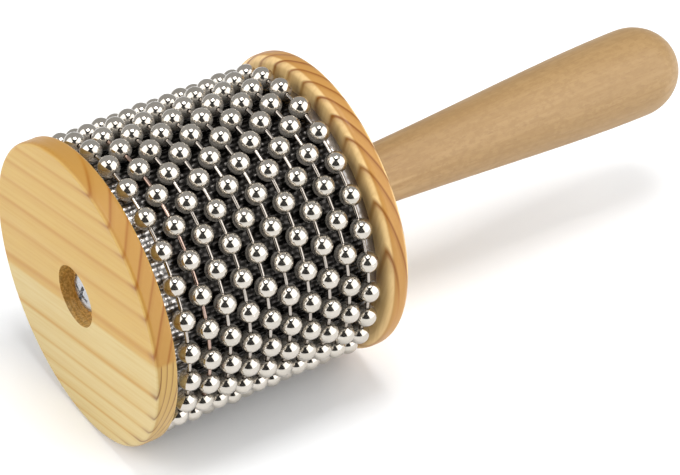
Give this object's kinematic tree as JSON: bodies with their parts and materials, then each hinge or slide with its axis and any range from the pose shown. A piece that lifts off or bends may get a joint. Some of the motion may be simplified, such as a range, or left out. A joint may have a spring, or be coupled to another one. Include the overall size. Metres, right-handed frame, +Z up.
{
  "type": "cabasa",
  "caption": "Cabasa: loops of steel ball chain that turn on a textured steel drum between two wooden discs, on a turned wooden handle, rubbed or shaken to rattle.",
  "frame": {"origin": "under the middle of the overall length, on the surface that the two disc rims rest on", "axes": "+X along the drum's axis from the front disc to the handle's end, +Z up, as the object lies on a table"},
  "size_m": [0.2076, 0.09, 0.09],
  "materials": {
    "disc_pine": "pale pine with a satin clear coat",
    "handle_wood": "plain close-grained wood, satin",
    "core_wood": "bare sawn wood",
    "skin_steel": "embossed with short raised dashes",
    "brad_steel": "plain",
    "ball_nickel": "polished nickel plate",
    "link_nickel": "drawn nickel-plated wire",
    "screw_zinc": "bright zinc plate"
  },
  "bodies": {
    "drum": {"handle": "handle_wood", "front_disc": "disc_pine", "rear_disc": "disc_pine", "drum_core": "core_wood", "steel_skin": "skin_steel", "skin_brads": "brad_steel", "clamp_screw": "screw_zinc"},
    "loop_01": {"loop_01_balls": "ball_nickel", "loop_01_links": "link_nickel"},
    "loop_02": {"loop_02_balls": "ball_nickel", "loop_02_links": "link_nickel"},
    "loop_03": {"loop_03_balls": "ball_nickel", "loop_03_links": "link_nickel"},
    "loop_04": {"loop_04_balls": "ball_nickel", "loop_04_links": "link_nickel"},
    "loop_05": {"loop_05_balls": "ball_nickel", "loop_05_links": "link_nickel"},
    "loop_06": {"loop_06_balls": "ball_nickel", "loop_06_links": "link_nickel"},
    "loop_07": {"loop_07_balls": "ball_nickel", "loop_07_links": "link_nickel"},
    "loop_08": {"loop_08_balls": "ball_nickel", "loop_08_links": "link_nickel"},
    "loop_09": {"loop_09_balls": "ball_nickel", "loop_09_links": "link_nickel"},
    "loop_10": {"loop_10_balls": "ball_nickel", "loop_10_links": "link_nickel"}
  },
  "joints": [
    {"name": "loop_01_turn", "type": "hinge", "parent": "drum", "child": "loop_01", "pos_m": [-0.09168, 0, 0.0446], "axis": [1, 0, 0], "continuous": true},
    {"name": "loop_02_turn", "type": "hinge", "parent": "drum", "child": "loop_02", "pos_m": [-0.08522, 0, 0.0446], "axis": [1, 0, 0], "continuous": true},
    {"name": "loop_03_turn", "type": "hinge", "parent": "drum", "child": "loop_03", "pos_m": [-0.07877, 0, 0.0446], "axis": [1, 0, 0], "continuous": true},
    {"name": "loop_04_turn", "type": "hinge", "parent": "drum", "child": "loop_04", "pos_m": [-0.07233, 0, 0.0446], "axis": [1, 0, 0], "continuous": true},
    {"name": "loop_05_turn", "type": "hinge", "parent": "drum", "child": "loop_05", "pos_m": [-0.06588, 0, 0.0446], "axis": [1, 0, 0], "continuous": true},
    {"name": "loop_06_turn", "type": "hinge", "parent": "drum", "child": "loop_06", "pos_m": [-0.05942, 0, 0.0446], "axis": [1, 0, 0], "continuous": true},
    {"name": "loop_07_turn", "type": "hinge", "parent": "drum", "child": "loop_07", "pos_m": [-0.05298, 0, 0.0446], "axis": [1, 0, 0], "continuous": true},
    {"name": "loop_08_turn", "type": "hinge", "parent": "drum", "child": "loop_08", "pos_m": [-0.04652, 0, 0.0446], "axis": [1, 0, 0], "continuous": true},
    {"name": "loop_09_turn", "type": "hinge", "parent": "drum", "child": "loop_09", "pos_m": [-0.04007, 0, 0.0446], "axis": [1, 0, 0], "continuous": true},
    {"name": "loop_10_turn", "type": "hinge", "parent": "drum", "child": "loop_10", "pos_m": [-0.03363, 0, 0.0446], "axis": [1, 0, 0], "continuous": true}
  ]
}
